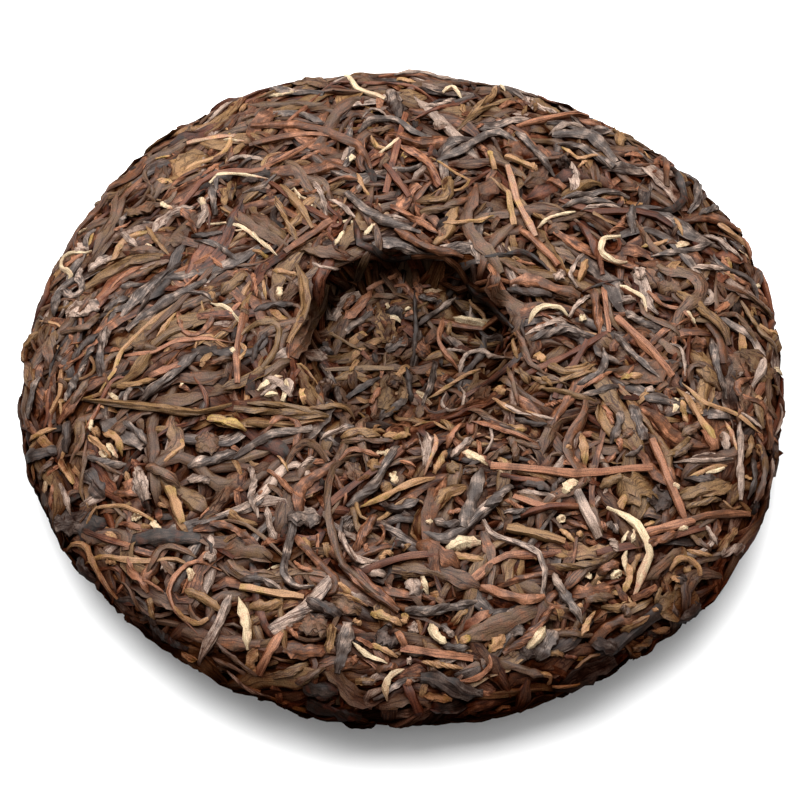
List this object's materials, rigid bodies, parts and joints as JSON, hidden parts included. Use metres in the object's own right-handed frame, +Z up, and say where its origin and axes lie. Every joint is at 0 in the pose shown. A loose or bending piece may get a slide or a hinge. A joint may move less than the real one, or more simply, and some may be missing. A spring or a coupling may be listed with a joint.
{
  "type": "pu erh tea cake",
  "caption": "Round cake of pressed pu erh tea: a low uneven disc of rolled dark leaves, stems and leaf flakes, with a domed underside and a deep dimple in the middle of its back.",
  "frame": {"origin": "centre of the small flat on the domed underside that the disc rests on", "axes": "+Z up through the disc's thickness, towards the dimpled back; +X to the right and -Y to the front, as the picture shows it"},
  "size_m": [0.1951, 0.1955, 0.0269],
  "materials": {
    "pressed_tea": "matt dry leaf, with a dull sheen on the twisted leaves"
  },
  "bodies": {
    "root": {"tea_cake": "pressed_tea"}
  },
  "joints": []
}
